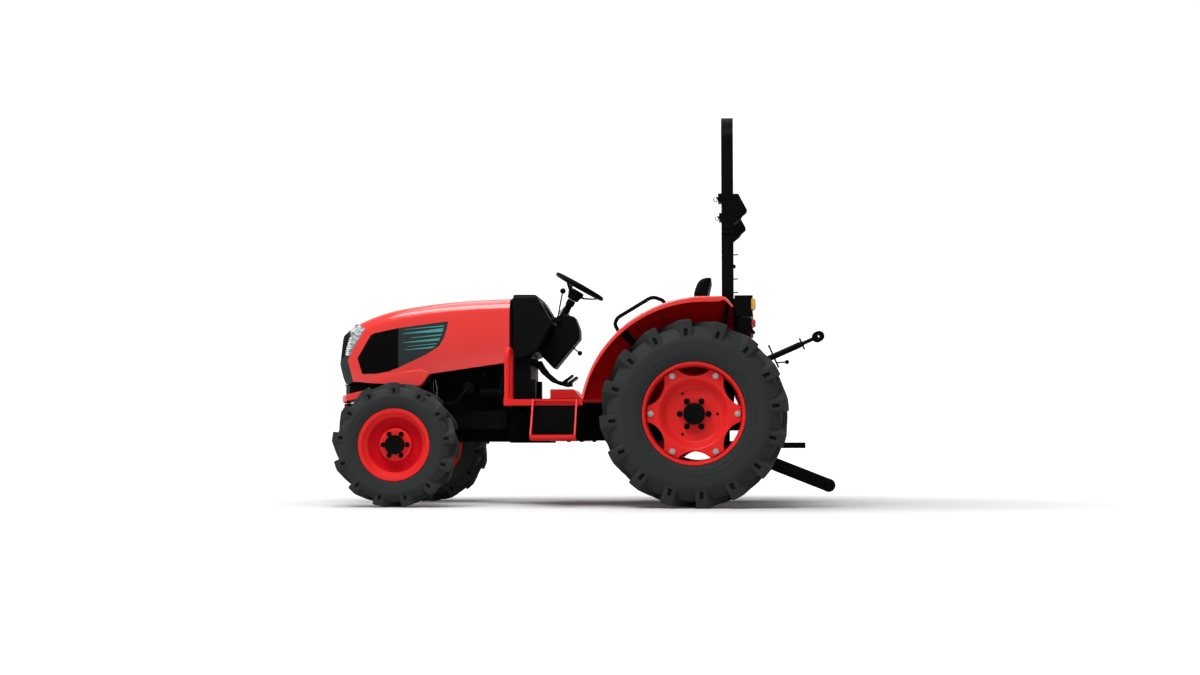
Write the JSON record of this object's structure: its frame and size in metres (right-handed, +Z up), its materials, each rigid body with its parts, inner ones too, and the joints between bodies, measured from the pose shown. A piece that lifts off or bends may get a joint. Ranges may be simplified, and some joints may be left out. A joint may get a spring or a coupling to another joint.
{
  "type": "farm tractor",
  "caption": "Compact farm tractor with lugged tyres, tilting bonnet, folding roll bar, steered front axle and a rear three-point linkage.",
  "frame": {"origin": "on the ground, under the middle of the tractor's length and width", "axes": "+X forward, +Y to the driver's left, +Z up"},
  "size_m": [3.4055, 1.74, 2.63],
  "materials": {
    "red_paint": "gloss red enamel",
    "black_paint": "satin black enamel",
    "dark_casting": "painted dark casting",
    "tyre_rubber": "matt tread rubber",
    "black_plastic": "moulded black plastic",
    "grey_plastic": "moulded charcoal plastic",
    "seat_cover": "grained black vinyl",
    "lamp_lens": "clear ribbed lens",
    "amber_lens": "amber and red lens",
    "bright_steel": "ground steel"
  },
  "bodies": {
    "chassis": {"front_frame": "black_paint", "front_bumper": "red_paint", "chin": "black_plastic", "engine_block": "dark_casting", "gearbox": "dark_casting", "rear_axle": "dark_casting", "pto_guard": "black_paint", "drawbar": "black_paint", "front_axle": "dark_casting", "cowl": "black_plastic", "steering_column": "black_plastic", "controls": "black_plastic", "platform": "red_paint", "steps": "red_paint", "step_panels": "black_paint", "seat_deck": "black_paint", "seat_base": "black_paint", "seat_cushion": "seat_cover", "seat_back": "seat_cover", "fender_left": "red_paint", "fender_right": "red_paint", "fender_rails": "black_paint", "rops_posts": "black_paint", "tail_lamps": "black_plastic", "tail_lenses": "amber_lens"},
    "bonnet": {"hood": "red_paint", "side_grilles": "black_plastic", "side_panels": "grey_plastic", "nose_grille": "grey_plastic", "headlamps": "lamp_lens"},
    "roll_bar": {"rops_hoop": "black_paint"},
    "hand_wheel": {"steering_wheel": "black_plastic"},
    "steering_rod": {"steering_rod": "bright_steel"},
    "knuckle_left": {"knuckle_left": "dark_casting"},
    "knuckle_right": {"knuckle_right": "dark_casting"},
    "lift_arms": {"lift_arms": "black_paint"},
    "lift_rod_left": {"lift_rod_left": "black_paint"},
    "lift_rod_right": {"lift_rod_right": "black_paint"},
    "lower_link_left": {"lower_link_left": "black_paint"},
    "lower_link_right": {"lower_link_right": "black_paint"},
    "top_link": {"top_link": "black_paint"},
    "rear_wheel_left": {"tyre_rear_left": "tyre_rubber", "wheel_rear_left": "red_paint", "hub_rear_left": "black_paint"},
    "rear_wheel_right": {"tyre_rear_right": "tyre_rubber", "wheel_rear_right": "red_paint", "hub_rear_right": "black_paint"},
    "front_wheel_left": {"tyre_front_left": "tyre_rubber", "wheel_front_left": "red_paint", "hub_front_left": "black_paint"},
    "front_wheel_right": {"tyre_front_right": "tyre_rubber", "wheel_front_right": "red_paint", "hub_front_right": "black_paint"}
  },
  "joints": [
    {"name": "rear_left_spin", "type": "hinge", "parent": "chassis", "child": "rear_wheel_left", "pos_m": [-0.77224, 0.7, 0.61], "axis": [0, 1, 0], "continuous": true},
    {"name": "steer_left", "type": "hinge", "parent": "chassis", "child": "knuckle_left", "pos_m": [1.19776, 0.52, 0.41], "axis": [0, 0, 1], "range_deg": [-45, 45]},
    {"name": "front_left_spin", "type": "hinge", "parent": "knuckle_left", "child": "front_wheel_left", "pos_m": [1.19776, 0.675, 0.41], "axis": [0, 1, 0], "continuous": true},
    {"name": "rear_right_spin", "type": "hinge", "parent": "chassis", "child": "rear_wheel_right", "pos_m": [-0.77224, -0.7, 0.61], "axis": [0, 1, 0], "continuous": true},
    {"name": "steer_right", "type": "hinge", "parent": "chassis", "child": "knuckle_right", "pos_m": [1.19776, -0.52, 0.41], "axis": [0, 0, 1], "range_deg": [-45, 45]},
    {"name": "front_right_spin", "type": "hinge", "parent": "knuckle_right", "child": "front_wheel_right", "pos_m": [1.19776, -0.675, 0.41], "axis": [0, 1, 0], "continuous": true},
    {"name": "hand_wheel_turn", "type": "hinge", "parent": "chassis", "child": "hand_wheel", "pos_m": [0.04276, 0, 1.518], "axis": [-0.4939, 0, 0.8695], "range_deg": [-541, 541]},
    {"name": "steering_rod_slide", "type": "slide", "parent": "chassis", "child": "steering_rod", "axis": [0, 1, 0], "range_m": [-0.0945, 0.0945]},
    {"name": "roll_bar_fold", "type": "hinge", "parent": "chassis", "child": "roll_bar", "pos_m": [-1.06724, 0, 1.94], "axis": [0, -1, 0], "range_deg": [0, 165]},
    {"name": "bonnet_open", "type": "hinge", "parent": "chassis", "child": "bonnet", "pos_m": [0.49076, 0, 1.42], "axis": [0, -1, 0], "range_deg": [0, 60]},
    {"name": "lower_link_lift", "type": "hinge", "parent": "chassis", "child": "lower_link_left", "pos_m": [-0.82224, 0.34, 0.47], "axis": [0, 1, 0], "range_deg": [0, 46.5]},
    {"name": "lower_link_right_lift", "type": "hinge", "parent": "chassis", "child": "lower_link_right", "pos_m": [-0.82224, -0.34, 0.47], "axis": [0, 1, 0], "range_deg": [0, 46.5]},
    {"name": "lift_arm_swing", "type": "hinge", "parent": "chassis", "child": "lift_arms", "pos_m": [-0.90224, 0, 0.88], "axis": [0, 1, 0], "range_deg": [0, 46.5]},
    {"name": "lift_rod_left_swing", "type": "hinge", "parent": "lift_arms", "child": "lift_rod_left", "pos_m": [-1.23719, 0.312, 0.74806], "axis": [0, 1, 0], "range_deg": [-46.5, 0]},
    {"name": "lift_rod_right_swing", "type": "hinge", "parent": "lift_arms", "child": "lift_rod_right", "pos_m": [-1.23719, -0.312, 0.74806], "axis": [0, 1, 0], "range_deg": [-46.5, 0]},
    {"name": "top_link_swing", "type": "hinge", "parent": "chassis", "child": "top_link", "pos_m": [-1.10224, 0, 0.932], "axis": [0, 1, 0], "range_deg": [-65, 25]}
  ],
  "couplings": [
    {"joint": "steer_right", "follows": "steer_left", "ratio": 1},
    {"joint": "hand_wheel_turn", "follows": "steer_left", "ratio": 12},
    {"joint": "steering_rod_slide", "follows": "steer_left", "m_per_rad": -0.12},
    {"joint": "lower_link_right_lift", "follows": "lower_link_lift", "ratio": 1},
    {"joint": "lift_arm_swing", "follows": "lower_link_lift", "ratio": 1},
    {"joint": "lift_rod_left_swing", "follows": "lower_link_lift", "ratio": -1},
    {"joint": "lift_rod_right_swing", "follows": "lower_link_lift", "ratio": -1}
  ]
}
